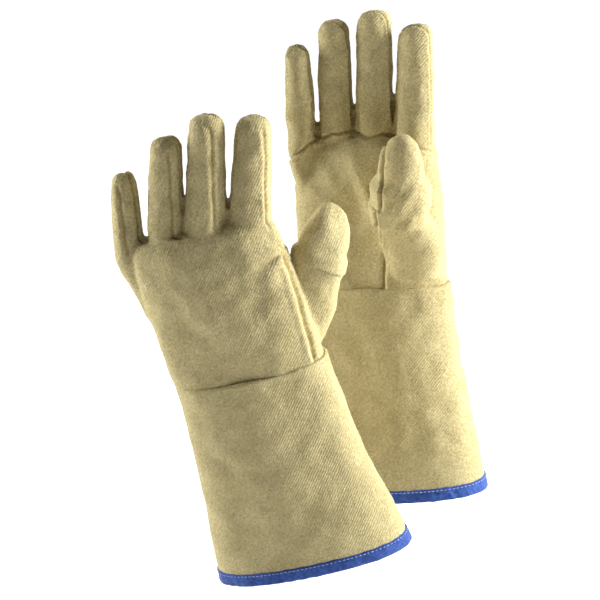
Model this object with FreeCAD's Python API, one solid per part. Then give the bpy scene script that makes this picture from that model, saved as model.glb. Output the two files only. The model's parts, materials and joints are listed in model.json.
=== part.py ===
"""A pair of five-finger insulated gauntlets, held up as if worn.

Each glove is drawn in its own glove frame, in millimetres, with its origin at the middle of
the wrist seam: u points to the thumb side, v to the fingertips and n out of the back of the
hand. The left glove shows its back to -Y and the right glove its palm, so the two frames are
mirror images. The row's origin is the middle of the left glove's arm opening.
"""

import FreeCAD, Part
import math
import os
from collections import namedtuple
from FreeCAD import Rotation, Vector

# Cloth, in millimetres
SHELL = 3.0                # outer cloth, napped on both faces
LINING = 2.5               # soft inner glove
PLY_GAP = 0.3              # air between the two
BINDING_HEIGHT = 9.0
BINDING_TAPE = 1.0

# Cuff and hand: half width and half thickness of the outer surface
WRIST_HALF = (60.5, 27.0)
HEM_HALF = (78.0, 33.0)
HEM_SHIFT = 7.0            # the cuff flares more on the thumb side
PALM_HALF = (60.0, 25.0)
HEEL_HALF = (60.5, 27.0)
KNUCKLE_HALF = (58.5, 18.5)
KNUCKLE_V = 128.0
HEEL_V = 38.0
PALM_V = 84.0
SECTION_POWER = 2.3        # 2 is an ellipse, more is squarer
SECTION_POLES = 16

# Digits: width across the hand and thickness at the base, and the share left near the tip
FINGER_SIZES = {
    "index": (32.0, 29.0),
    "middle": (32.0, 29.0),
    "ring": (28.0, 27.5),
    "little": (23.5, 25.0),
}
THUMB_SIZE = (43.0, 33.0)
FINGER_TAPER = 0.94
THUMB_TAPER = 0.85
STRIP_SHARE = 0.36         # the side strip's height, as a share of the thickness
DOME_SHARE = 1.1           # length of the rounded end, in half thicknesses
WEB_GAP = 2.5              # room beside each finger's root

# The ball of the thumb: half width and half thickness at the heel of the hand and half way up
BALL_HEEL_HALF = (21.0, 13.0)
BALL_MIDDLE_HALF = (26.0, 17.5)

# Joints, in degrees
WRIST_SWING = 18.0
DIGIT_BACK = 8.0
SWING_MARGIN = 1.0         # extra bevel, so that no edge meets at a limit
HINGE_GAP = 0.4
FAR = 400.0                # larger than any part that it cuts
OVERSHOOT = 2.0            # how far a cutter passes the face that it opens
LEAST_VOLUME = 1.0         # cubic millimetres, smaller slivers are dropped

Digit = namedtuple("Digit", "base splay curl length")
Thumb = namedtuple("Thumb", "heel middle base direction length bends_sideways")
Glove = namedtuple("Glove", "name back_faces tilt pitch yaw cuff_length hem_slant knuckle_shift digits thumb")

LEFT = Glove(
    name="left", back_faces=-1, tilt=15.0, pitch=8.0, yaw=6.0, cuff_length=169.0, hem_slant=(0.0, 0.0),
    knuckle_shift=-8.0,
    digits={
        "index": Digit((30.0, 116.0, -2.0), 16.7, 5.0, 89.0),
        "middle": Digit((-3.5, 121.0, 0.0), 15.8, 5.0, 94.5),
        "ring": Digit((-36.5, 118.0, -1.5), 14.8, 6.0, 85.0),
        "little": Digit((-66.3, 112.0, -6.0), 9.0, 7.0, 68.0),
    },
    thumb=Thumb(heel=(37.0, 12.0, -15.0), middle=(53.0, 42.0, -13.0), base=(71.0, 70.0, -13.0),
                direction=(0.56, 0.79, -0.2), length=50.0, bends_sideways=False),
)
RIGHT = Glove(
    name="right", back_faces=1, tilt=3.0, pitch=0.0, yaw=15.0, cuff_length=173.0, hem_slant=(3.5, 6.0),
    knuckle_shift=-3.0,
    digits={
        "index": Digit((38.0, 115.0, -2.0), 4.0, 3.0, 102.0),
        "middle": Digit((5.4, 122.0, 0.0), 3.5, 3.0, 106.0),
        "ring": Digit((-25.7, 119.0, -1.5), 1.6, 4.0, 102.0),
        "little": Digit((-53.3, 111.0, -6.0), 0.4, 6.0, 92.0),
    },
    thumb=Thumb(heel=(36.0, 12.0, -15.0), middle=(38.0, 44.0, -25.0), base=(35.0, 77.0, -40.5),
                direction=(0.07, 0.97, -0.2), length=60.0, bends_sideways=True),
)
PAIR_STEP = Vector(100.4, 130.0, 37.7)     # from the left wrist seam to the right one


class Frame:
    """Maps glove coordinates to the row frame."""

    def __init__(self, glove, origin):
        lean = Rotation(Vector(0, 1, 0), -glove.tilt)
        nod = Rotation(Vector(1, 0, 0), glove.pitch)
        turn = Rotation(Vector(0, 0, 1), -glove.yaw)
        rotation = lean.multiply(nod).multiply(turn)
        self.u = rotation.multVec(Vector(1, 0, 0))
        self.v = rotation.multVec(Vector(0, 0, 1))
        self.n = rotation.multVec(Vector(0, glove.back_faces, 0))
        self.origin = origin

    def way(self, u, v, n):
        return self.u * u + self.v * v + self.n * n

    def point(self, u, v, n):
        return self.origin + self.way(u, v, n)


def unit(vector):
    return vector * (1.0 / vector.Length)


def section(centre, across, through, half_width, half_thick):
    """A closed rounded outline, as one periodic spline."""
    poles = []
    pull = 3.0 / (2.0 + math.cos(2.0 * math.pi / SECTION_POLES))
    for step in range(SECTION_POLES):
        angle = 2.0 * math.pi * step / SECTION_POLES
        reach = abs(math.cos(angle)) ** SECTION_POWER + abs(math.sin(angle)) ** SECTION_POWER
        scale = pull * reach ** (-1.0 / SECTION_POWER)
        poles.append(centre + across * (half_width * scale * math.cos(angle))
                     + through * (half_thick * scale * math.sin(angle)))
    outline = Part.BSplineCurve()
    outline.buildFromPoles(poles, True, 3)
    return Part.Wire([outline.toShape()])


def loft(sections, inset=0.0):
    """A solid through sections, each (centre, across, through, half_width, half_thick)."""
    wires = [section(c, a, t, w - inset, h - inset) for c, a, t, w, h in sections]
    return Part.makeLoft(wires, True, True)


def half_space(point, normal):
    """A large box that fills the side of a plane that the normal points to."""
    box = Part.makeBox(2 * FAR, 2 * FAR, FAR, Vector(-FAR, -FAR, 0))
    box.Placement = FreeCAD.Placement(point, Rotation(Vector(0, 0, 1), normal))
    return box


def slab(point, normal, low, high):
    """A large plate between two distances along the normal."""
    box = Part.makeBox(2 * FAR, 2 * FAR, high - low, Vector(-FAR, -FAR, low))
    box.Placement = FreeCAD.Placement(point, Rotation(Vector(0, 0, 1), normal))
    return box


def save(name, shape):
    """Writes the closed solids of a shape as one node."""
    solids = [solid for solid in shape.Solids if solid.Volume > LEAST_VOLUME]
    Part.makeCompound(solids).exportStep("parts/%s.step" % name)


def stretch(first, last):
    """Moves the first section away from the second, so that a core cuts right through."""
    centre = first[0]
    away = unit(centre - last[0])
    return (centre + away * OVERSHOOT,) + tuple(first[1:])


def wall(sections, outside, inside):
    """The cloth between two insets of one form, open at both ends."""
    core = list(sections)
    core[0] = stretch(sections[0], sections[1])
    core[-1] = stretch(sections[-1], sections[-2])
    return loft(sections, outside).cut(loft(core, inside))


def cuff_sections(frame, glove):
    """The hem, which may rise to the thumb side and to the back, and the wrist."""
    to_thumb, to_back = (math.radians(angle) for angle in glove.hem_slant)
    hem = frame.point(HEM_SHIFT, -glove.cuff_length, 0)
    across = frame.way(math.cos(to_thumb), math.sin(to_thumb), 0)
    through = frame.way(0, math.sin(to_back), math.cos(to_back))
    through = unit(through - across * through.dot(across))
    return [(hem, across, through) + HEM_HALF, (frame.point(0, 0, 0), frame.u, frame.n) + WRIST_HALF]


def hand_sections(frame, glove):
    shift = glove.knuckle_shift
    return [
        (frame.point(0, 0, 0), frame.u, frame.n) + WRIST_HALF,
        (frame.point(shift * 0.2, HEEL_V, 0), frame.u, frame.n) + HEEL_HALF,
        (frame.point(shift * 0.6, PALM_V, 0), frame.u, frame.n) + PALM_HALF,
        (frame.point(shift, KNUCKLE_V, -1), frame.u, frame.n) + KNUCKLE_HALF,
    ]


def wrist_notch(frame, up):
    """The two half spaces, above or below the wrist, that leave room for it to swing."""
    slope = math.radians(WRIST_SWING / 2 + SWING_MARGIN)
    start = frame.point(0, up * HINGE_GAP, 0)
    sides = [frame.way(0, up * math.cos(slope), side * -math.sin(slope)) for side in (1, -1)]
    return half_space(start, sides[0]).common(half_space(start, sides[1]))


def build_cuff(frame, glove):
    sections = cuff_sections(frame, glove)
    below = wrist_notch(frame, -1)
    shell = wall(sections, 0.0, SHELL).common(below)
    lining = wall(sections, SHELL + PLY_GAP, SHELL + PLY_GAP + LINING).common(below)
    middle = frame.point(0, 0, 0)
    save(glove.name + "_cuff_back", shell.common(half_space(middle, frame.n)))
    save(glove.name + "_cuff_palm", shell.common(half_space(middle, frame.n * -1)))
    save(glove.name + "_cuff_lining", lining)
    save(glove.name + "_hem_binding", hem_binding(frame, sections))


def hem_binding(frame, sections):
    """A tape folded round the hem: a ring whose channel holds both plies."""
    hem, across, through = sections[0][:3]
    inward = across.cross(through)
    if inward.dot(frame.v) < 0:
        inward = inward * -1
    plies = SHELL + PLY_GAP + LINING
    band = slab(hem, inward, -BINDING_TAPE - PLY_GAP, BINDING_HEIGHT)
    channel = slab(hem, inward, -PLY_GAP, BINDING_HEIGHT + OVERSHOOT)
    below = (hem - inward * BINDING_HEIGHT,) + tuple(sections[0][1:])
    form = [below] + sections
    ring = loft(form, -PLY_GAP - BINDING_TAPE).cut(loft(form, plies + PLY_GAP + BINDING_TAPE))
    groove = loft(form, -PLY_GAP).cut(loft(form, plies + PLY_GAP))
    return ring.common(band).cut(groove.common(channel))


class Phalanx:
    """One digit as a tapering tube with a rounded end, hinged along its front face."""

    def __init__(self, base, along, back, size, taper, length):
        self.along = unit(along)
        self.back = unit(back - self.along * back.dot(self.along))
        self.across = self.along.cross(self.back)
        self.base = base
        self.width, self.thick = size
        self.taper = taper
        self.length = length
        self.pivot = base - self.back * (self.thick / 2)
        self.axis = self.across * -1

    def sections(self, inset=0.0):
        """Sections from the base to the tip, already inset, because the tip moves back too."""
        half_width = self.width / 2 - inset
        half_thick = self.thick / 2 - inset
        reach = self.length - inset
        dome = half_thick * DOME_SHARE
        stations = [(0.0, 1.0), (reach * 0.55, (1.0 + self.taper) / 2)]
        for step in range(5):
            angle = math.radians(18.0 * step)
            stations.append((reach - dome + dome * math.sin(angle), self.taper * max(math.cos(angle), 0.3)))
        stations.append((reach, self.taper * 0.12))
        return [(self.base + self.along * s, self.across, self.back, half_width * k, half_thick * k)
                for s, k in stations]

    def tube(self, outside, inside):
        core = self.sections(inside)
        core[0] = stretch(core[0], core[1])
        return loft(self.sections(outside)).cut(loft(core))

    def mouth(self):
        """What lies ahead of the hinge, with a bevel that opens towards the back."""
        slope = math.radians(DIGIT_BACK + SWING_MARGIN)
        normal = self.along * math.cos(slope) - self.back * math.sin(slope)
        return half_space(self.pivot + self.along * HINGE_GAP, normal)

    def save_panels(self, prefix):
        mouth = self.mouth()
        shell = self.tube(0.0, SHELL).common(mouth)
        half_strip = self.thick * STRIP_SHARE / 2
        top = self.base + self.back * half_strip
        bottom = self.base - self.back * half_strip
        save(prefix + "_back", shell.common(half_space(top, self.back)))
        save(prefix + "_front", shell.common(half_space(bottom, self.back * -1)))
        save(prefix + "_side_strip", shell.common(slab(self.base, self.back, -half_strip, half_strip)))
        save(prefix + "_lining", self.tube(SHELL + PLY_GAP, SHELL + PLY_GAP + LINING).common(mouth))

    def room(self, low_side, high_side):
        """The space past the hinge, between two distances across, that the hand keeps out of."""
        ahead = half_space(self.pivot - self.along * HINGE_GAP, self.along)
        return ahead.common(slab(self.base, self.across, low_side, high_side))


def finger(frame, digit, size):
    splay = math.radians(digit.splay)
    curl = math.radians(digit.curl)
    along = frame.way(math.sin(splay) * math.cos(curl), math.cos(splay) * math.cos(curl), -math.sin(curl))
    return Phalanx(frame.point(*digit.base), along, frame.n, size, FINGER_TAPER, digit.length)


def square_to(frame, way):
    """The glove's u and n, turned square to a direction and to each other."""
    across = unit(frame.u - way * frame.u.dot(way))
    through = unit(frame.n - way * frame.n.dot(way) - across * frame.n.dot(across))
    return across, through


def thumb_of(frame, glove):
    thumb = glove.thumb
    along = unit(frame.way(*thumb.direction))
    across, through = square_to(frame, along)
    base = frame.point(*thumb.base)
    if thumb.bends_sideways:
        return Phalanx(base, along, across, THUMB_SIZE[::-1], THUMB_TAPER, thumb.length)
    return Phalanx(base, along, through, THUMB_SIZE, THUMB_TAPER, thumb.length)


def ball_sections(frame, glove, tip):
    """The ball of the thumb, from the heel of the hand to the thumb's hinge."""
    heel = frame.point(*glove.thumb.heel)
    middle = frame.point(*glove.thumb.middle)
    end_half = (THUMB_SIZE[0] / 2, THUMB_SIZE[1] / 2)
    return [
        (heel,) + square_to(frame, frame.v) + BALL_HEEL_HALF,
        (middle,) + square_to(frame, unit(tip.base - heel)) + BALL_MIDDLE_HALF,
        (tip.base,) + square_to(frame, tip.along) + end_half,
    ]


def finger_rooms(frame, fingers):
    """Clears the knuckle line, past the edges of the hand beside its outermost fingers."""
    rooms = []
    for name, phalanx in fingers.items():
        reach = phalanx.width / 2 + WEB_GAP
        low_side, high_side = -reach, reach
        outer = {"index": 1, "little": -1}.get(name, 0) * (1 if phalanx.across.dot(frame.u) > 0 else -1)
        if outer > 0:
            high_side = FAR
        if outer < 0:
            low_side = -FAR
        rooms.append(phalanx.room(low_side, high_side))
    return rooms


def build_hand(frame, glove, fingers, tip):
    sections = hand_sections(frame, glove)
    above = wrist_notch(frame, 1)
    shell = wall(sections, 0.0, SHELL).common(above)
    lining = wall(sections, SHELL + PLY_GAP, SHELL + PLY_GAP + LINING).common(above)
    for room in finger_rooms(frame, fingers):
        shell = shell.cut(room)
        lining = lining.cut(room)
    ball = ball_sections(frame, glove, tip)
    hollow = list(ball)
    hollow[-1] = stretch(ball[-1], ball[-2])
    doorway = loft(hollow, SHELL)
    behind = half_space(tip.pivot - tip.along * HINGE_GAP, tip.along * -1)
    panel = loft(ball).cut(doorway).cut(loft(sections)).common(behind).common(above)
    middle = frame.point(0, 0, 0)
    save(glove.name + "_back_panel", shell.common(half_space(middle, frame.n)).cut(doorway))
    save(glove.name + "_palm_panel", shell.common(half_space(middle, frame.n * -1)).cut(doorway))
    save(glove.name + "_hand_lining", lining.cut(doorway))
    save(glove.name + "_thumb_base_panel", panel)


def build_glove(glove, origin):
    frame = Frame(glove, origin)
    fingers = {name: finger(frame, digit, FINGER_SIZES[name]) for name, digit in glove.digits.items()}
    tip = thumb_of(frame, glove)
    build_cuff(frame, glove)
    build_hand(frame, glove, fingers, tip)
    for name, phalanx in fingers.items():
        phalanx.save_panels("%s_%s" % (glove.name, name))
    tip.save_panels(glove.name + "_thumb")


def wrist_origins():
    """The middles of the two wrist seams, with the left arm opening at the row's origin."""
    left = Frame(LEFT, Vector(0, 0, 0)).way(-HEM_SHIFT, LEFT.cuff_length, 0)
    return left, left + PAIR_STEP


def main():
    os.makedirs("parts", exist_ok=True)
    left_wrist, right_wrist = wrist_origins()
    build_glove(LEFT, left_wrist)
    build_glove(RIGHT, right_wrist)


main()
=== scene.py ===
"""Looks of a pair of long five-finger gauntlets in napped yellow twill with blue bound hems.

Each glove has one smooth skin for hand, fingers and thumb, which is then cut into its sewn panels.
A vertex carries its place in the glove's own frame, in the attribute "cloth": u to the thumb side,
v to the fingertips and n out of the back of the hand. The weave is drawn from that attribute, so
that it stays on the cloth when a joint moves. Metres throughout.
"""

import json
import math
from collections import namedtuple

import bpy
import numpy as np
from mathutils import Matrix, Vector, noise

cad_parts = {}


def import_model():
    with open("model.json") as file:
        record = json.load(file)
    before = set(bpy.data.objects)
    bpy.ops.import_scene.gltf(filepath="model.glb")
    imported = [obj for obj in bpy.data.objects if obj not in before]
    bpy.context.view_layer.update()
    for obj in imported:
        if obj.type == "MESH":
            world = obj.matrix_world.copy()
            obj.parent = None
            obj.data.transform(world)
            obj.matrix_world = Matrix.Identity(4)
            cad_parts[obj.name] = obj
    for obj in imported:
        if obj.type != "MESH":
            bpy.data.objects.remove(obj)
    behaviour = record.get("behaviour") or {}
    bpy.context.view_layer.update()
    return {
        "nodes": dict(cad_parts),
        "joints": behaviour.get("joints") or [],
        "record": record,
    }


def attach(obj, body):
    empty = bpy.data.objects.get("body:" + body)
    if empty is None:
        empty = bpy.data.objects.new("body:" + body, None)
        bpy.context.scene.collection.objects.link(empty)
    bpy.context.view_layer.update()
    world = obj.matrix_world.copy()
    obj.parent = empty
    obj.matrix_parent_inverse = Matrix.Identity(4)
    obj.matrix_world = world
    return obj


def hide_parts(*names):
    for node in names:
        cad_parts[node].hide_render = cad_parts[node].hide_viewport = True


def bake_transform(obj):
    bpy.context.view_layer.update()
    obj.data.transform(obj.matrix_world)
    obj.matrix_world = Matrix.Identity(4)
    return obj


MM = 0.001

# The cloth forms, half width and half thickness, as in the CAD part
WRIST_HALF = (60.5 * MM, 27.0 * MM)
HEM_HALF = (78.0 * MM, 33.0 * MM)
HEEL_HALF = (60.5 * MM, 27.0 * MM)
PALM_HALF = (60.0 * MM, 25.0 * MM)
KNUCKLE_HALF = (58.0 * MM, 17.5 * MM)
HEEL_V = 38 * MM
PALM_V = 84 * MM
KNUCKLE_V = 126 * MM
# How far the knuckles lie to the thumb side of the wrist's middle
KNUCKLE_SHIFT = {"left": -8 * MM, "right": -3 * MM}
# The swelling under the thumb, at its heel and its middle: half sizes, and (u, v, n) in millimetres
BALL_HALF = ((21 * MM, 13 * MM), (26 * MM, 17.5 * MM))
BALL_LINE = {
    "left": ((37, 12, -15), (53, 42, -13)),
    "right": ((36, 12, -15), (38, 44, -25)),
}
# How far its rings run on into the thumb, in millimetres
BALL_TAIL = {"left": 5, "right": 12}
# The upper edge of the palm panel, (u, v) in millimetres from the middle of the knuckles
PALM_EDGE = [(-66, 104), (-50, 115), (-37, 124.5), (-23, 129), (-8, 130.5),
             (6, 126), (19, 129), (40, 122), (62, 111)]
# The edges of the left glove's thumb gusset, in millimetres
GUSSET_U = 53.5
GUSSET_V = 98
# How square the cross sections are: 2 is an ellipse
POWER = 2.3
DIGIT_POWER = 2.2
WAIST = 0.035
HAND_UNDER_CUFF = 7 * MM

# Points round a ring
HAND_COUNT = 96
DIGIT_COUNT = 56
VOXEL = 1.15 * MM
LINING_VOXEL = 2.6 * MM
# How far the lining lies inside the cloth's forms
LINING_INSET = 8 * MM
LINING_DIGIT_INSET = 5 * MM
DIGITS = ("index", "middle", "ring", "little", "thumb")
THUMB = DIGITS.index("thumb")
# A digit's width at its root, middle and end, as shares of its CAD width
FINGER_SHARES = (1.04, 0.93, 0.85)
THUMB_SHARES = {"left": (1.08, 1.05, 0.95), "right": (1.2, 1.2, 0.9)}
# The length of the rounded end, as a share of the half thickness
FINGER_DOME = 0.85
THUMB_DOME = {"left": 2.2, "right": 1.7}
# How far the thumb's cross section is turned at its end, in degrees, and how far its end leans
THUMB_TURN = {"left": 38, "right": 0}
THUMB_LEAN = {"left": 0.3, "right": 0.0}
# Past the hinge: where a digit's own panels start, and a bend length
FINGER_CUT, FINGER_BEND = 9 * MM, 34 * MM
THUMB_CUT, THUMB_BEND = 1 * MM, 26 * MM

# How far each digit is rolled about its own length, which shows in where its seams run
ROLLS = {
    "left": {"index": 9, "middle": 22, "ring": 22, "little": 56, "thumb": 0},
    "right": {"index": -4, "middle": 0, "ring": 0, "little": 6, "thumb": 0},
}

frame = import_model()
record = frame["record"]
joints = {joint["name"]: joint for joint in frame["joints"]}
mounts = {mount["name"]: mount for mount in record["mounts"]}


def unit(vector):
    return vector / np.linalg.norm(vector)


def node_points(*names):
    return np.array([v.co[:] for name in names for v in frame["nodes"][name].data.vertices])


Digit = namedtuple("Digit", "name pivot base along across back width thick length roll")
Glove = namedtuple("Glove", "name origin u v n hem length digits")


def read_digit(side, name, hand_u):
    """A digit's centre line and size, from its joint and the CAD solids of its panels."""
    joint = joints["%s_%s_bend" % (side, name)]
    pivot = np.array(joint["pos_m"])
    axis = unit(np.array(joint["axis"]))
    prefix = "%s_%s_" % (side, name)
    strip = node_points(prefix + "side_strip") - pivot
    reach = strip[np.linalg.norm(strip, axis=1) > 0.9 * np.linalg.norm(strip, axis=1).max()].mean(0)
    along = unit(reach - axis * (reach @ axis))
    back = np.cross(along, axis)
    slope, rise = np.polyfit(strip @ along, strip @ back, 1)
    along = unit(along + back * slope)
    back = np.cross(along, axis)
    panels = node_points(prefix + "front", prefix + "back", prefix + "side_strip") - pivot
    spread = panels @ axis
    across = axis * (1 if axis @ hand_u > 0 else -1)
    if name == "thumb" and abs(axis @ hand_u) < 0.5:
        across = axis
    return Digit(name, pivot, pivot + back * rise, along, across, back, spread.max() - spread.min(),
                 2 * rise, (panels @ along).max(), ROLLS[side][name])


def read_glove(side):
    origin = np.array(joints[side + "_wrist"]["pos_m"])
    mount = mounts[side + "_arm_opening"]
    v = -unit(np.array(mount["axis"]))
    axis = unit(np.array(joints[side + "_wrist"]["axis"]))
    n = np.cross(v, axis)
    thumb = np.array(joints[side + "_thumb_bend"]["pos_m"]) - origin
    u = axis if axis @ thumb > 0 else -axis
    hem = np.array(mount["pos_m"])
    digits = {name: read_digit(side, name, u) for name in DIGITS}
    return Glove(side, origin, u, v, n, hem, (origin - hem) @ v, digits)


GLOVES = [read_glove("left"), read_glove("right")]


def local(glove, points):
    offset = points - glove.origin
    return np.stack([offset @ glove.u, offset @ glove.v, offset @ glove.n], 1)


def world(glove, points):
    points = np.asarray(points, float)
    return glove.origin + points[:, :1] * glove.u + points[:, 1:2] * glove.v + points[:, 2:3] * glove.n


# ---------------------------------------------------------------- forms


def ring(centre, across, through, half_width, half_thick, count, power=POWER):
    """Points round a cross section between an ellipse and a rectangle."""
    angle = np.linspace(0, 2 * math.pi, count, endpoint=False)
    cos, sin = np.cos(angle), np.sin(angle)
    scale = (np.abs(cos) ** power + np.abs(sin) ** power) ** (-1 / power)
    return centre + np.outer(cos * scale * half_width, across) + np.outer(sin * scale * half_thick, through)


def smooth_path(stations, steps):
    """Rows of numbers between the stations, on a Catmull-Rom curve."""
    rows = np.array(stations, float)
    padded = np.vstack([2 * rows[0] - rows[1], rows, 2 * rows[-1] - rows[-2]])
    made = []
    for k in range(1, len(padded) - 2):
        a, b, c, d = padded[k - 1:k + 3]
        for t in np.linspace(0, 1, steps, endpoint=False):
            made.append(0.5 * (2 * b + (c - a) * t + (2 * a - 5 * b + 4 * c - d) * t * t
                               + (3 * b - a - 3 * c + d) * t ** 3))
    made.append(rows[-1])
    return made


def grid_faces(rows, count):
    """The quads between rings of points, row on row."""
    return [(row * count + k, row * count + (k + 1) % count, (row + 1) * count + (k + 1) % count,
             (row + 1) * count + k) for row in range(rows - 1) for k in range(count)]


def tube_mesh(name, rings):
    """A mesh through rings of equal length, closed at both ends."""
    count = len(rings[0])
    points = np.vstack(rings)
    faces = grid_faces(len(rings), count)
    faces.append(tuple(range(count))[::-1])
    faces.append(tuple(range((len(rings) - 1) * count, len(rings) * count)))
    mesh = bpy.data.meshes.new(name)
    mesh.from_pydata([tuple(p) for p in points], [], faces)
    mesh.update()
    return mesh


def joined(name, meshes):
    points, faces, start = [], [], 0
    for mesh in meshes:
        points += [v.co[:] for v in mesh.vertices]
        faces += [tuple(k + start for k in p.vertices) for p in mesh.polygons]
        start = len(points)
        bpy.data.meshes.remove(mesh)
    made = bpy.data.meshes.new(name)
    made.from_pydata(points, [], faces)
    made.update()
    return made


def link(name, mesh):
    made = bpy.data.objects.new(name, mesh)
    bpy.context.scene.collection.objects.link(made)
    return made


def remeshed(mesh, voxel, rounds):
    """(points, faces) of the outer surface of overlapping closed meshes, rounded where they meet."""
    carrier = link("carrier", mesh)
    remesh = carrier.modifiers.new("remesh", "REMESH")
    remesh.mode = "VOXEL"
    remesh.voxel_size = voxel
    smooth = carrier.modifiers.new("smooth", "SMOOTH")
    smooth.factor = 0.5
    smooth.iterations = rounds
    bpy.context.view_layer.update()
    result = bpy.data.meshes.new_from_object(carrier.evaluated_get(bpy.context.evaluated_depsgraph_get()))
    bpy.data.objects.remove(carrier)
    bpy.data.meshes.remove(mesh)
    points = np.zeros(len(result.vertices) * 3)
    result.vertices.foreach_get("co", points)
    faces = [tuple(p.vertices) for p in result.polygons]
    bpy.data.meshes.remove(result)
    return points.reshape(-1, 3), faces


def vertex_normals(points, faces):
    quads = np.array([face if len(face) == 4 else (face[0], face[1], face[2], face[2]) for face in faces])
    corner = points[quads]
    normal = np.cross(corner[:, 2] - corner[:, 0], corner[:, 3] - corner[:, 1])
    total = np.zeros_like(points)
    for k in range(4):
        np.add.at(total, quads[:, k], normal)
    length = np.linalg.norm(total, axis=1, keepdims=True)
    return total / np.maximum(length, 1e-12)


def lumps(points, size, seed):
    """Smooth noise from about -1 to 1, the same at every run."""
    shift = Vector((seed * 7.3, seed * 3.1, seed * 5.7))
    return np.array([noise.noise(Vector(p) / size + shift) for p in points]) * 1.6


# ---------------------------------------------------------------- the skin of a hand


def digit_rings(glove, digit, inset=0.0):
    """Rings of one digit: buried in the hand, wide at the root, straight, and with a rounded end."""
    half_width, half_thick = digit.width / 2 - inset, digit.thick / 2 - inset
    length = digit.length - 2.5 * inset
    thumb = digit.name == "thumb"
    root, middle, end = THUMB_SHARES[glove.name] if thumb else FINGER_SHARES
    dome = half_thick * (THUMB_DOME[glove.name] if thumb else FINGER_DOME)
    buried = [(-16 * MM, root * 0.92)] if thumb else [(-58 * MM, 0.4), (-34 * MM, 0.7), (-14 * MM, 0.93)]
    straight = length - dome
    stations = buried + [(0.0, root), (straight * 0.35, (root + middle) / 2), (straight * 0.7, middle),
                         (straight, end)]
    path = [tuple(row) for row in smooth_path(stations, 4)]
    roundness = 0.95 if thumb else 0.72
    for step in range(1, 9):
        angle = math.radians(step * 10.6)
        path.append((length - dome + dome * math.sin(angle), end * max(math.cos(angle), 0.02) ** roundness))
    rings = []
    inward = -glove.v + glove.u * 0.12 * (-1 if digit.name == "index" else 1)
    for s, share in path:
        way = digit.along * s if s > 0 or thumb else inward * -s
        turn = 0.0
        if thumb:
            way = way - digit.across * half_width * (root - share) * THUMB_LEAN[glove.name]
            turn = math.radians(THUMB_TURN[glove.name]) * min(max(s / (0.6 * length), 0.0), 1.0)
        across = digit.across * math.cos(turn) - digit.back * math.sin(turn)
        back = digit.back * math.cos(turn) + digit.across * math.sin(turn)
        rings.append(ring(digit.base + way, across, back, half_width * share, half_thick * share,
                          DIGIT_COUNT, DIGIT_POWER))
    if np.cross(digit.across, digit.back) @ digit.along < 0:
        rings = [r[::-1] for r in rings]
    return rings


def hand_rings(glove, inset=0.0):
    """Rings of the hand, from under the cuff to the knuckles."""
    shift = KNUCKLE_SHIFT[glove.name]
    stations = [
        (0.0, -HAND_UNDER_CUFF - 6 * MM, 0.0) + WRIST_HALF,
        (0.0, 0.0, 0.0) + WRIST_HALF,
        (shift * 0.2, HEEL_V, 0.0) + HEEL_HALF,
        (shift * 0.6, PALM_V, 0.0) + PALM_HALF,
        (shift * 0.95, KNUCKLE_V - 10 * MM, 0.0) + (KNUCKLE_HALF[0], KNUCKLE_HALF[1] * 1.1),
        (shift, KNUCKLE_V, -1 * MM) + (KNUCKLE_HALF[0] * 0.93, KNUCKLE_HALF[1] * 0.72),
    ]
    rings = []
    for u, v, n, half_width, half_thick in smooth_path(stations, 5):
        centre = world(glove, [(u, v, n)])[0]
        rings.append(ring(centre, glove.u, glove.n, half_width - inset, half_thick - inset, HAND_COUNT))
    if np.cross(glove.u, glove.n) @ glove.v < 0:
        rings = [r[::-1] for r in rings]
    return rings


def ball_rings(glove, inset=0.0):
    """Rings of the swelling under the thumb, from the heel of the hand into the thumb's root."""
    thumb = glove.digits["thumb"]
    across = glove.u - thumb.along * (glove.u @ thumb.along)
    across = unit(across)
    through = unit(glove.n - thumb.along * (glove.n @ thumb.along) - across * (glove.n @ across))
    flat = abs(thumb.across @ across) > 0.7
    wide, deep = (thumb.width, thumb.thick) if flat else (thumb.thick, thumb.width)
    heel, middle = [world(glove, [np.array(p) * MM])[0] for p in BALL_LINE[glove.name]]
    tail = thumb.base + thumb.along * BALL_TAIL[glove.name] * MM
    stations = [
        tuple(heel) + BALL_HALF[0],
        tuple(middle) + BALL_HALF[1],
        tuple(thumb.base) + (wide / 2, deep / 2),
        tuple(tail) + (wide / 2 * 0.96, deep / 2 * 0.96),
    ]
    rings = []
    for x, y, z, half_width, half_thick in smooth_path(stations, 6):
        rings.append(ring(np.array((x, y, z)), across, through, half_width - inset, half_thick - inset,
                          DIGIT_COUNT, DIGIT_POWER))
    if np.cross(across, through) @ thumb.along < 0:
        rings = [r[::-1] for r in rings]
    return rings


def digit_frame(digit, points):
    """(across, along, back) of points in a digit's own frame, rolled as the digit is."""
    offset = points - digit.base
    roll = math.radians(digit.roll)
    across = digit.across * math.cos(roll) + digit.back * math.sin(roll)
    back = digit.back * math.cos(roll) - digit.across * math.sin(roll)
    return offset @ across, offset @ digit.along, offset @ back


def groove(distance, depth, width, lip=0.0, side=1.0):
    """A sewn seam: a narrow valley with a raised fold of cloth on one side."""
    valley = -depth * np.exp(-(distance / width) ** 2)
    fold = lip * np.exp(-((distance - side * 1.9 * width) / (1.5 * width)) ** 2)
    return valley + fold


def cut_and_bend(name):
    return (THUMB_CUT, THUMB_BEND) if name == "thumb" else (FINGER_CUT, FINGER_BEND)


def owners(glove, points):
    """For each point the number of its digit in DIGITS, or -1 for the hand."""
    owner = np.full(len(points), -1)
    nearest = np.full(len(points), 9.0)
    for k, name in enumerate(DIGITS):
        digit = glove.digits[name]
        offset = points - digit.base
        s = offset @ digit.along
        side = np.hypot((offset @ digit.across) / (digit.width / 2),
                        (offset @ digit.back) / (digit.thick / 2))
        mine = (s > cut_and_bend(name)[0]) & (side < 1.5) & (side < nearest)
        owner[mine] = k
        nearest[mine] = side[mine]
    return owner


def palm_line(v):
    """How far to the thumb side the right palm's long seam lies."""
    return 13 * MM + 0.06 * v


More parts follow.
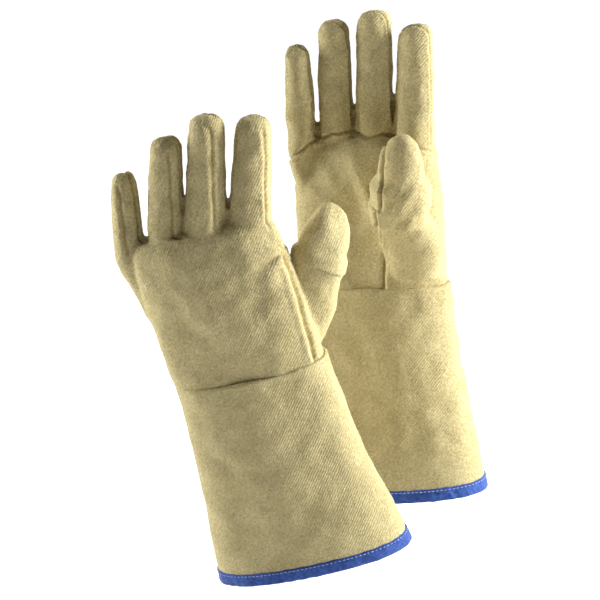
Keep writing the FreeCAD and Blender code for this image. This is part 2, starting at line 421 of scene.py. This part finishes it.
def seam_planes(glove, digit):
    """Where a digit's back and front panels end, as shares of its half thickness."""
    if digit.name == "thumb":
        return (0.6, -0.5) if glove.name == "left" else (0.8, -0.6)
    if glove.name == "left":
        return 0.52 if digit.name == "index" else 0.66, -0.3
    return 0.6, -0.3


def seam_relief(glove, points, owner, where):
    """(height of the cloth from its seams, along the normal, and how near a seam is, from 0 to 1)."""
    u, v, n = where.T
    height = np.zeros(len(points))
    seam_dirt_and_shade_mask = np.zeros(len(points))

    def sew(near, distance, depth, width, lip, side=1.0):
        nonlocal height, seam_dirt_and_shade_mask
        height += near * groove(distance, depth, width, lip, side)
        # how near a seam's valley is; it darkens the cloth's colour there, partly for the seam's thread and
        # dirt, partly as painted shade in the groove
        seam_dirt_and_shade_mask = np.maximum(seam_dirt_and_shade_mask, near * np.exp(-(distance / (0.9 * width)) ** 2))

    free = owner != THUMB
    wobble = 0.5 * MM * lumps(where, 9 * MM, 3)
    for k, name in enumerate(DIGITS):
        digit = glove.digits[name]
        a, s, b = digit_frame(digit, points)
        half = digit.thick / 2
        top, bottom = seam_planes(glove, digit)
        near = np.clip((s + 2 * MM) / (7 * MM), 0, 1) * (owner == k)
        if name != "thumb":
            near = np.clip((s - 1 * MM) / (6 * MM), 0, 1) * (np.hypot(a, b) < digit.width * 0.75) * free
        tip = np.clip((s - digit.length + 12 * MM) / (8 * MM), 0, 1)
        pucker = tip * 0.55 * MM * np.sin(a / (1.9 * MM) + 2.0 * k)
        if name != "thumb":
            sew(near * (1 - tip), b - top * half + wobble, 1.2 * MM, 1.15 * MM, 0.6 * MM)
        sew(near, b - bottom * half + wobble + pucker, 1.6 * MM, 1.2 * MM, 0.8 * MM, -1.0)
        height += near * tip * 0.35 * MM * lumps(where, 4 * MM, 11 + k)
    edge = np.interp(u / MM - KNUCKLE_SHIFT[glove.name] / MM, *np.array(PALM_EDGE).T) * MM
    sew(free * (n < -6 * MM), v - edge + wobble, 1.7 * MM, 1.4 * MM, 0.8 * MM, -1.0)
    if glove.name == "left":
        line = (GUSSET_U - 0.02 * (v / MM - 50)) * MM
        along = np.clip((v - 1 * MM) / (4 * MM), 0, 1) * np.clip((96 * MM - v) / (6 * MM), 0, 1)
        sew(free * along * (n > -4 * MM), u - line + wobble, 3.2 * MM, 1.9 * MM, 1.3 * MM, -1.0)
    else:
        line = palm_line(v)
        along = np.clip((v - 1 * MM) / (4 * MM), 0, 1) * np.clip((80 * MM - v) / (6 * MM), 0, 1)
        sew(free * along * (n < -8 * MM), u - line + wobble, 2.6 * MM, 1.6 * MM, 1.1 * MM)
    return height, seam_dirt_and_shade_mask


def bump_at(u, v, middle, size):
    """A rounded rise of height 1 at (u, v) = middle, both in millimetres as its size is."""
    across = (u - middle[0] * MM) / (size[0] * MM)
    along = (v - middle[1] * MM) / (size[1] * MM)
    return np.exp(-across ** 2 - along ** 2)


def folds(glove, where, owner):
    """Broad dents and folds of the thick cloth, fainter on the digits than on the hand."""
    u, v, n = where.T
    stretched = where * np.array((1.0, 0.55, 1.0))
    amount = np.where(owner < 0, 1.0, np.where(owner == THUMB, 0.2, 0.45))
    height = amount * 2.2 * MM * lumps(stretched, 38 * MM, 21) + 0.7 * MM * lumps(where, 14 * MM, 22)
    height += 0.13 * MM * lumps(where, 3.2 * MM, 23)
    if glove.name == "left":
        # short folds that run from between the fingers and from the crook of the thumb
        crook = np.hypot(u - 52 * MM, v - 96 * MM)
        angle = np.arctan2(v - 96 * MM, u - 52 * MM)
        height += 0.9 * MM * np.exp(-(crook / (24 * MM)) ** 2) * np.sin(5 * angle + 0.6)
    else:
        # the hollow of the palm, the fold that runs up beside it, and small creases across both
        palm = n < 0
        height -= 5.0 * MM * bump_at(u, v, (-12, 62), (17, 36)) * palm
        height += 2.6 * MM * bump_at(u + 0.35 * (v - 80 * MM), v, (2, 84), (6, 30)) * palm
        crease = np.sin((u * 0.9 + v * 0.5) / (6.5 * MM))
        height += 0.5 * MM * crease * bump_at(u, v, (-4, 84), (16, 22)) * palm
    return height


def thumb_ribs(glove, where):
    """The stretched twill of the right glove's thumb panel shows as short ribs."""
    u, v, n = where.T
    if glove.name == "left":
        return np.zeros(len(u))
    patch = bump_at(u, v, (38, 76), (17, 28)) * (n < -14 * MM)
    stripes = np.sin((v * 0.85 - u * 0.5) / (0.5 * MM))
    waves = np.sin((v * 0.6 - u * 0.8) / (1.9 * MM) + lumps(where, 16 * MM, 71))
    return patch * (0.2 * MM * stripes + 0.55 * MM * waves)


def skin(glove):
    """(points, faces, normals, glove coordinates, owners, seam marks) of the cloth of hand and digits."""
    meshes = [tube_mesh("hand", hand_rings(glove)), tube_mesh("ball", ball_rings(glove))]
    meshes += [tube_mesh(name, digit_rings(glove, digit)) for name, digit in glove.digits.items()]
    points, faces = remeshed(joined("forms", meshes), VOXEL, 10)
    normals = vertex_normals(points, faces)
    where = local(glove, points)
    owner = owners(glove, points)
    relief, seam_dirt_and_shade_mask = seam_relief(glove, points, owner, where)
    height = relief + folds(glove, where, owner) + thumb_ribs(glove, where)
    # the hand's lower edge lies under the cuff's
    under = np.clip((2 * MM - where[:, 1]) / (3 * MM), 0, 1)
    height = height * (1 - under) - 2.2 * MM * under
    points = points + normals * height[:, None]
    return points, faces, vertex_normals(points, faces), where, owner, seam_dirt_and_shade_mask


# ---------------------------------------------------------------- materials


def value(node, name, number):
    node.inputs[name].default_value = number


class Shader:
    """A material with a Principled shader, and short ways to add and join nodes."""

    def __init__(self, name):
        self.material = bpy.data.materials.new(name)
        self.material.use_nodes = True
        self.tree = self.material.node_tree
        self.main = next(node for node in self.tree.nodes if node.type == "BSDF_PRINCIPLED")
        attribute = self.add("ShaderNodeAttribute")
        attribute.attribute_name = "cloth"
        self.place = attribute.outputs["Vector"]

    def add(self, kind, **inputs):
        node = self.tree.nodes.new(kind)
        for name, number in inputs.items():
            value(node, name.replace("_", " "), number)
        return node

    def join(self, output, node, name):
        self.tree.links.new(output, node.inputs[name])
        return node

    def noise(self, scale, detail):
        node = self.add("ShaderNodeTexNoise", Scale=scale, Detail=detail)
        self.join(self.place, node, "Vector")
        return node.outputs["Fac"]

    def turned(self, angle):
        node = self.add("ShaderNodeMapping")
        node.inputs["Rotation"].default_value = (0, 0, angle)
        self.join(self.place, node, "Vector")
        return node.outputs["Vector"]

    def wave(self, period, angle, distortion, detail, detail_scale=1.0):
        """Stripes of a period in metres, at an angle on the cloth."""
        node = self.add("ShaderNodeTexWave", Scale=2 * math.pi / (20 * period), Distortion=distortion,
                        Detail=detail, Detail_Scale=detail_scale)
        node.bands_direction = "X"
        self.join(self.turned(angle), node, "Vector")
        return node.outputs["Fac"]

    def math(self, operation, first, second):
        node = self.add("ShaderNodeMath")
        node.operation = operation
        for socket, item in zip(node.inputs, (first, second)):
            if isinstance(item, (int, float)):
                socket.default_value = item
            else:
                self.tree.links.new(item, socket)
        return node.outputs[0]

    def ramp(self, factor, stops):
        node = self.add("ShaderNodeValToRGB")
        while len(node.color_ramp.elements) < len(stops):
            node.color_ramp.elements.new(0.5)
        for element, (position, colour) in zip(node.color_ramp.elements, stops):
            element.position = position
            element.color = tuple(colour) + (1.0,)
        self.join(factor, node, "Fac")
        return node.outputs["Color"]

    def mix(self, kind, factor, first, second):
        node = self.add("ShaderNodeMix")
        node.data_type = "RGBA"
        node.blend_type = kind
        if isinstance(factor, (int, float)):
            node.inputs[0].default_value = factor
        else:
            self.tree.links.new(factor, node.inputs[0])
        for socket, item in ((node.inputs[6], first), (node.inputs[7], second)):
            if isinstance(item, tuple):
                socket.default_value = item + (1.0,)
            else:
                self.tree.links.new(item, socket)
        return node.outputs[2]

    def bump(self, height, strength, distance):
        node = self.add("ShaderNodeBump", Strength=strength, Distance=distance)
        self.join(height, node, "Height")
        previous = getattr(self, "last_bump", None)
        if previous:
            self.join(previous, node, "Normal")
        self.last_bump = node.outputs["Normal"]
        self.join(self.last_bump, self.main, "Normal")


WHITE = (1.0, 1.0, 1.0)


def napped_twill(name, light, mid, dark):
    """A twill whose raised nap nearly hides its lines, darker in the seams: partly their thread and dirt,
    partly painted shade in their grooves.
    """
    shader = Shader(name)
    twill = shader.wave(1.9 * MM, math.radians(38), 2.2, 2.0, 1.4)
    fuzz = shader.noise(1500, 4.0)
    mottle = shader.noise(520, 4.0)
    cloud = shader.noise(38, 3.0)
    grain = shader.math("ADD", shader.math("MULTIPLY", mottle, 0.5), shader.math("MULTIPLY", fuzz, 0.5))
    tone = shader.ramp(grain, [(0.3, dark), (0.5, mid), (0.68, light)])
    shade = shader.ramp(cloud, [(0.3, (0.86, 0.845, 0.80)), (0.7, WHITE)])
    colour = shader.mix("MULTIPLY", 1.0, tone, shade)
    lines = shader.ramp(twill, [(0.15, (0.93, 0.925, 0.91)), (0.6, WHITE)])
    colour = shader.mix("MULTIPLY", 0.8, colour, lines)
    # darker near the seams: partly the thread and dirt of a seam, partly painted shade in its groove
    sewn = shader.add("ShaderNodeAttribute")
    sewn.attribute_name = "seam"
    seam_dirt_and_shade_colour = shader.ramp(sewn.outputs["Fac"], [(0.25, WHITE), (0.95, (0.68, 0.62, 0.50))])
    shader.join(shader.mix("MULTIPLY", 1.0, colour, seam_dirt_and_shade_colour), shader.main, "Base Color")
    shader.bump(shader.noise(90, 2.0), 0.35, 1.2 * MM)
    shader.bump(twill, 0.5, 0.35 * MM)
    shader.bump(mottle, 0.5, 0.5 * MM)
    shader.bump(fuzz, 0.6, 0.25 * MM)
    value(shader.main, "Roughness", 0.92)
    value(shader.main, "Specular IOR Level", 0.12)
    value(shader.main, "Sheen Weight", 0.25)
    value(shader.main, "Sheen Roughness", 0.35)
    value(shader.main, "Sheen Tint", (1.0, 0.93, 0.70, 1.0))
    return shader.material


def woven_tape():
    shader = Shader("binding_tape")
    rib = shader.wave(0.9 * MM, 0.0, 0.3, 1.0)
    weft = shader.wave(0.7 * MM, math.radians(90), 0.5, 1.0)
    slub = shader.noise(420, 3.0)
    patch = shader.noise(60, 2.0)
    tone = shader.ramp(slub, [(0.3, (0.020, 0.060, 0.30)), (0.7, (0.055, 0.145, 0.52))])
    shade = shader.ramp(patch, [(0.3, (0.72, 0.74, 0.8)), (0.7, (1.15, 1.1, 1.05))])
    shader.join(shader.mix("MULTIPLY", 1.0, tone, shade), shader.main, "Base Color")
    shader.bump(shader.math("ADD", rib, weft), 0.5, 0.25 * MM)
    shader.bump(slub, 0.5, 0.3 * MM)
    value(shader.main, "Roughness", 0.62)
    value(shader.main, "Specular IOR Level", 0.3)
    value(shader.main, "Sheen Weight", 0.2)
    value(shader.main, "Sheen Roughness", 0.4)
    return shader.material


def brushed_knit():
    shader = Shader("lining_knit")
    wales = shader.wave(1.6 * MM, 0.0, 1.0, 2.0)
    fluff = shader.noise(700, 5.0)
    tone = shader.ramp(fluff, [(0.3, (0.50, 0.47, 0.36)), (0.7, (0.72, 0.69, 0.57))])
    shader.join(tone, shader.main, "Base Color")
    shader.bump(wales, 0.5, 0.5 * MM)
    shader.bump(fluff, 0.9, 0.6 * MM)
    value(shader.main, "Roughness", 0.95)
    value(shader.main, "Specular IOR Level", 0.1)
    value(shader.main, "Sheen Weight", 0.4)
    return shader.material


def thread(name, dark, light):
    shader = Shader(name)
    twist = shader.wave(0.5 * MM, math.radians(30), 0.4, 1.0)
    shader.join(shader.ramp(twist, [(0.2, dark), (0.8, light)]), shader.main, "Base Color")
    shader.bump(twist, 0.6, 0.1 * MM)
    value(shader.main, "Roughness", 0.55)
    return shader.material


SHELL_CLOTH = napped_twill("shell_twill", (0.84, 0.74, 0.44), (0.62, 0.53, 0.275), (0.34, 0.275, 0.115))
TAPE = woven_tape()
KNIT = brushed_knit()
BLUE_THREAD = thread("hem_thread", (0.22, 0.33, 0.62), (0.50, 0.62, 0.85))


# ---------------------------------------------------------------- pieces


def piece(name, points, faces, where, material, nodes, normals=None, seam_dirt_and_shade_mask=None):
    """One visible piece, with its cloth coordinates, finish and the CAD nodes it stands for."""
    used = sorted({k for face in faces for k in face})
    number = {k: i for i, k in enumerate(used)}
    mesh = bpy.data.meshes.new(name)
    mesh.from_pydata([tuple(points[k]) for k in used], [], [tuple(number[k] for k in face) for face in faces])
    mesh.update()
    mesh.polygons.foreach_set("use_smooth", [True] * len(mesh.polygons))
    attribute = mesh.attributes.new("cloth", "FLOAT_VECTOR", "POINT")
    attribute.data.foreach_set("vector", where[used].astype(np.float32).ravel())
    seam = mesh.attributes.new("seam", "FLOAT", "POINT")
    if seam_dirt_and_shade_mask is not None:
        seam.data.foreach_set("value", seam_dirt_and_shade_mask[used].astype(np.float32))
    if normals is not None:
        mesh.normals_split_custom_set_from_vertices([tuple(normals[k]) for k in used])
    mesh.materials.append(material)
    made = link(name, mesh)
    if nodes:
        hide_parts(*nodes)
    return made


def blend_to_digit(made):
    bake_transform(made)


def hand_panels(glove):
    """The skin of hand and digits, cut into the panels it is sewn from."""
    points, faces, normals, where, owner, seam_dirt_and_shade_mask = skin(glove)
    centres = np.array([points[list(face)].mean(0) for face in faces])
    spots = local(glove, centres)
    face_owner = np.array([owner[list(face)].min() for face in faces])
    side = glove.name
    groups = {}
    for k, face in enumerate(faces):
        if spots[k, 1] < -HAND_UNDER_CUFF:
            continue
        who = face_owner[k]
        if who < 0:
            u, v, n = spots[k]
            if side == "left":
                gusset = (u > GUSSET_U * MM and v < GUSSET_V * MM
                          or n < -20 * MM and u > 20 * MM and v < 90 * MM)
            else:
                gusset = u > palm_line(v) and n < -6 * MM and v < 84 * MM
            key = "thumb_base_panel" if gusset else "back_panel" if n > 0 else "palm_panel"
        else:
            digit = glove.digits[DIGITS[who]]
            b = digit_frame(digit, centres[k:k + 1])[2][0]
            top, bottom = seam_planes(glove, digit)
            half = digit.thick / 2
            kind = "back" if b > top * half else "front" if b < bottom * half else "side_strip"
            key = "%s_%s" % (digit.name, kind)
        groups.setdefault(key, []).append(face)
    for key in sorted(groups):
        name = "%s_%s" % (side, key)
        made = piece(name + "_cloth", points, groups[key], where, SHELL_CLOTH, [name],
                     normals, seam_dirt_and_shade_mask)
        digit_name = key.split("_")[0]
        if digit_name in DIGITS and key != "thumb_base_panel":
            blend_to_digit(made)
        else:
            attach(made, side + "_hand")


def hand_lining(glove):
    """The inner glove, seen only through the arm opening."""
    meshes = [tube_mesh("hand", hand_rings(glove, LINING_INSET)),
              tube_mesh("ball", ball_rings(glove, LINING_INSET))]
    meshes += [tube_mesh(name, digit_rings(glove, digit, LINING_DIGIT_INSET))
               for name, digit in glove.digits.items()]
    points, faces = remeshed(joined("lining", meshes), LINING_VOXEL, 4)
    where = local(glove, points)
    owner = owners(glove, points)
    groups = {}
    for face in faces:
        if where[list(face), 1].mean() < -HAND_UNDER_CUFF:
            continue
        who = owner[list(face)].min()
        key = "hand_lining" if who < 0 else DIGITS[who] + "_lining"
        groups.setdefault(key, []).append(face[::-1])
    for key in sorted(groups):
        name = "%s_%s" % (glove.name, key)
        made = piece(name + "_knit", points, groups[key], where, KNIT, [name])
        if key == "hand_lining":
            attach(made, glove.name + "_hand")
        else:
            blend_to_digit(made)


# ---------------------------------------------------------------- cuffs


def cuff_form(glove):
    """The hem's own directions (across, through), from the plane of the tape's lower edge."""
    tape = node_points(glove.name + "_hem_binding")
    offset = tape - glove.hem
    low = offset[offset @ glove.v < np.quantile(offset @ glove.v, 0.5)]
    flat = low - low.mean(0)
    normal = np.linalg.svd(flat, full_matrices=False)[2][2]
    normal = normal * (1 if normal @ glove.v > 0 else -1)
    across = unit(glove.u - normal * (glove.u @ normal))
    through = unit(np.cross(normal, across))
    through = through * (1 if through @ glove.n > 0 else -1)
    return across, through


def cuff_grid(glove, out, heights, count):
    """Rings of the cuff, out metres off its form, for pairs (height, extra metres out).

    A height runs from 0 at the hem to 1 at the wrist.
    """
    across, through = cuff_form(glove)
    rings = []
    for t, extra in heights:
        centre = glove.hem + (glove.origin - glove.hem) * t
        a = unit(across + (glove.u - across) * t)
        b = unit(through + (glove.n - through) * t)
        waist = -WAIST * math.sin(math.pi * min(max(t, 0), 1)) * (1 - 0.3 * t)
        half_width = HEM_HALF[0] + (WRIST_HALF[0] - HEM_HALF[0]) * t + waist * HEM_HALF[0]
        half_thick = HEM_HALF[1] + (WRIST_HALF[1] - HEM_HALF[1]) * t
        rings.append(ring(centre, a, b, half_width + out + extra, half_thick + out + extra, count))
    if np.cross(glove.u, glove.n) @ glove.v < 0:
        rings = [r[::-1] for r in rings]
    return rings


def cuff_folds(glove, points, normals, amount):
    """Points moved out by the cuff's broad folds, and in along its two side seams."""
    where = local(glove, points)
    u, v, n = where.T
    seed = 31 if glove.name == "left" else 47
    stretched = where * np.array((1.0, 0.5, 1.0))
    height = 2.4 * MM * lumps(stretched, 44 * MM, seed) + 0.7 * MM * lumps(where, 16 * MM, seed + 1)
    height += 0.12 * MM * lumps(where, 3.2 * MM, seed + 2)
    edge = np.clip((u_edge(glove, v) - np.abs(u - hem_shift(glove, v))) / (1.2 * MM), -3, 3)
    height -= 0.7 * MM * np.exp(-edge ** 2) * (np.abs(n) < 6 * MM)
    return points + normals * (height * amount)[:, None]


def hem_shift(glove, v):
    """How far the cuff's middle line lies to the thumb side at a height v."""
    hem = local(glove, glove.hem[None, :])[0]
    return hem[0] * np.clip(v / hem[1], 0, 1.1)


def u_edge(glove, v):
    """Half the cuff's width at a height v."""
    t = np.clip(1 + v / glove.length, 0, 1)
    return HEM_HALF[0] + (WRIST_HALF[0] - HEM_HALF[0]) * t - WAIST * np.sin(math.pi * t) * HEM_HALF[0]


def blend_wrist(made):
    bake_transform(made)


def cuff(glove):
    """The cuff's two halves, rolled over at the wrist, with its lining and hem."""
    side = glove.name
    rows = 130
    count = 360
    steps = [(t, 0.0) for t in np.linspace(0.012, 1.0, rows)]
    lip = [(1.0 + h * MM / glove.length, out * MM) for h, out in
           ((0.9, 0.35), (1.6, 0.2), (2.1, -0.4), (2.1, -1.4), (1.4, -2.4), (0.2, -3.0), (-4.0, -3.2))]
    heights = steps + lip
    rings = cuff_grid(glove, 0.9 * MM, heights, count)
    points = np.vstack(rings)
    faces = grid_faces(len(rings), count)
    normals = vertex_normals(points, faces)
    # the folds fade over the lip at the wrist and near the hem tape
    settle = np.repeat([1.0] * len(steps) + [0.9, 0.8, 0.7, 0.6, 0.5, 0.4, 0.3], count)
    over_hem = np.repeat([t for t, _ in heights], count) * glove.length
    hem_calm = np.clip((over_hem - 9 * MM) / (26 * MM), 0.0, 1)
    points = cuff_folds(glove, points, normals, settle * hem_calm)
    where = local(glove, points)
    normals = vertex_normals(points, faces)
    middle = where[:, 2]
    back = [face for face in faces if middle[list(face)].mean() > 0]
    palm = [face for face in faces if middle[list(face)].mean() <= 0]
    for key, group in (("cuff_back", back), ("cuff_palm", palm)):
        name = "%s_%s" % (side, key)
        made = piece(name + "_cloth", points, group, where, SHELL_CLOTH, [name], normals)
        blend_wrist(made)
    count_inside = 160
    inner = cuff_grid(glove, -5.6 * MM, [(t, 0.0) for t in np.linspace(0.01, 1.03, 70)], count_inside)
    points = np.vstack(inner)
    faces = [face[::-1] for face in grid_faces(len(inner), count_inside)]
    points = cuff_folds(glove, points, -vertex_normals(points, faces), 0.5)
    name = side + "_cuff_lining"
    made = piece(name + "_knit", points, faces, local(glove, points), KNIT, [name])
    blend_wrist(made)
    binding(glove, count)


def binding_outline():
    """(height over the hem, distance off the cuff's form) of the folded tape, from outside to inside."""
    outline = [(9.0, 0.6), (9.2, 1.1), (8.6, 1.5), (6.0, 1.75), (3.0, 1.8), (0.8, 1.7)]
    for step in range(9):
        angle = math.radians(-20 + step * 27.5)
        outline.append((-1.3 * math.cos(angle), -2.6 + 4.3 * math.cos(math.radians(step * 22.5))))
    outline += [(1.5, -7.1), (4.0, -7.3), (7.5, -7.3), (8.9, -7.0), (9.0, -6.2)]
    return outline


def binding(glove, count):
    """The tape folded round the hem, slightly puckered by its stitches."""
    side = glove.name
    rings = cuff_grid(glove, 0.0, [(h * MM / glove.length, out * MM) for h, out in binding_outline()], count)
    points = np.vstack(rings)
    faces = grid_faces(len(rings), count)
    normals = vertex_normals(points, faces)
    outward = np.einsum("ij,ij->i", normals, points - glove.hem)
    if outward[: 4 * count].sum() < 0:
        faces = [face[::-1] for face in faces]
        normals = vertex_normals(points, faces)
    where = local(glove, points)
    seed = 61 if side == "left" else 67
    slant = where @ np.array((0.8, 0.45, 0.8))
    pucker = 0.28 * MM * np.sin(slant / (1.35 * MM)) * np.clip(lumps(where, 22 * MM, seed) + 0.35, 0, 1)
    pucker += 0.35 * MM * lumps(where, 7 * MM, seed + 1)
    points = points + normals * pucker[:, None]
    name = side + "_hem_binding"
    made = piece(name + "_tape", points, faces, ring_coordinates(glove, points), TAPE, [name])
    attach(made, side + "_cuff")
    hem_stitches(glove)


def ring_coordinates(glove, points):
    """Coordinates that run round the hem, so that the tape's ribs do."""
    where = local(glove, points)
    angle = np.arctan2(where[:, 2], where[:, 0] * 0.45)
    return np.stack([angle * 68 * MM, where[:, 1], where[:, 2] * 0.1], 1)


def hem_stitches(glove):
    """One row of stitches through the tape, near its upper edge, each a short bent rod."""
    line = cuff_grid(glove, 0.0, [(7.4 * MM / glove.length, 1.78 * MM)], 1440)[0]
    gaps = np.linalg.norm(np.roll(line, -1, 0) - line, axis=1)
    total = gaps.sum()
    travelled = np.concatenate([[0], np.cumsum(gaps)[:-1]])
    stitches = round(total / (3.4 * MM))
    pitch = total / stitches
    up = glove.v
    points, faces = [], []
    for k in range(stitches):
        start = len(points)
        spots = [np.array([np.interp((k + share) * pitch, travelled, line[:, axis]) for axis in range(3)])
                 for share in (0.16, 0.34, 0.5, 0.66, 0.84)]
        out = np.cross(unit(spots[-1] - spots[0]), up)
        out = unit(out * (1 if out @ (spots[2] - glove.hem) > 0 else -1))
        for spot, rise, radius in zip(spots, (-0.25, 0.12, 0.2, 0.12, -0.25), (0.2, 0.32, 0.34, 0.32, 0.2)):
            for side in range(6):
                angle = side * math.pi / 3
                around = up * math.cos(angle) + out * math.sin(angle)
                points.append(spot + out * rise * MM + around * radius * MM)
        faces += [tuple(start + corner for corner in face) for face in grid_faces(5, 6)]
        faces.append(tuple(range(start, start + 6))[::-1])
        faces.append(tuple(range(start + 24, start + 30)))
    points = np.array(points)
    made = piece(glove.name + "_hem_stitches", points, faces, local(glove, points), BLUE_THREAD,
                 [])
    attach(made, glove.name + "_cuff")


for glove in GLOVES:
    cuff(glove)
    hand_panels(glove)
    hand_lining(glove)


# ---------------------------------------------------------------- stage, light and camera

# Where the camera looks, from how far and from how high
TARGET = Vector((-11.7, 42.2, 201.1)) * MM
DISTANCE = 2.6
ELEVATION = math.radians(14)
FLOOR_Z = -0.16
# How strongly the floor glows just in front of the gloves, and far from them
FRONT_GLOW = 0.04
BACK_GLOW = 1.0


def floor_material():
    """Matt white whose glow is read from the floor's own points."""
    material = bpy.data.materials.new("pale_floor")
    material.use_nodes = True
    nodes = material.node_tree.nodes
    main = next(node for node in nodes if node.type == "BSDF_PRINCIPLED")
    main.inputs["Base Color"].default_value = (0.93, 0.93, 0.93, 1.0)
    main.inputs["Roughness"].default_value = 0.9
    main.inputs["Emission Color"].default_value = (1.0, 1.0, 1.0, 1.0)
    glow = nodes.new("ShaderNodeAttribute")
    glow.attribute_name = "glow"
    material.node_tree.links.new(glow.outputs["Fac"], main.inputs["Emission Strength"])
    return material


def floor():
    """A plain pale floor, wide enough to fill the picture from any side."""
    half = 30.0
    outline = [(-half, BACK_GLOW), (-3.2, BACK_GLOW), (-1.0, FRONT_GLOW), (0.0, FRONT_GLOW), (0.7, BACK_GLOW),
               (half, BACK_GLOW)]
    points = [(x, y, FLOOR_Z) for y, _ in outline for x in (-half, half)]
    faces = [(2 * k, 2 * k + 1, 2 * k + 3, 2 * k + 2) for k in range(len(outline) - 1)]
    mesh = bpy.data.meshes.new("floor")
    mesh.from_pydata(points, [], faces)
    glow = mesh.attributes.new("glow", "FLOAT", "POINT")
    glow.data.foreach_set("value", [strength for _, strength in outline for _ in range(2)])
    mesh.materials.append(floor_material())
    link("floor", mesh)


def soft_light(name, place, size, power):
    """A rectangular light that faces the gloves."""
    light = bpy.data.lights.new(name, "AREA")
    light.shape = "RECTANGLE"
    light.size, light.size_y = size
    light.energy = power
    made = link(name, light)
    made.location = place
    made.rotation_euler = (TARGET - Vector(place)).to_track_quat("-Z", "Y").to_euler()


def stand():
    """Floor, world, lights and camera."""
    floor()
    world_settings = bpy.data.worlds.new("studio")
    world_settings.use_nodes = True
    background = next(node for node in world_settings.node_tree.nodes if node.type == "BACKGROUND")
    background.inputs["Color"].default_value = (1.0, 1.0, 1.0, 1.0)
    background.inputs["Strength"].default_value = 0.02
    bpy.context.scene.world = world_settings
    soft_light("key_right", (1.5, -0.13, 0.72), (0.45, 0.9), 50)
    soft_light("key_left", (-1.5, 0.3, 0.5), (0.4, 1.0), 24)
    soft_light("top", (0.0, 0.3, 2.2), (0.8, 0.8), 4)
    soft_light("front", (-0.4, -1.9, 1.0), (0.4, 0.4), 0.5)
    bpy.context.scene.view_settings.view_transform = "Standard"
    camera_data = bpy.data.cameras.new("camera")
    camera_data.sensor_width = 36.0
    camera_data.lens = 195.0
    camera_data.clip_end = 50.0
    camera = link("camera", camera_data)
    toward = Vector((0, math.cos(ELEVATION), -math.sin(ELEVATION)))
    camera.location = TARGET - toward * DISTANCE
    camera.rotation_euler = toward.to_track_quat("-Z", "Y").to_euler()
    bpy.context.scene.camera = camera


stand()

bpy.context.view_layer.update()
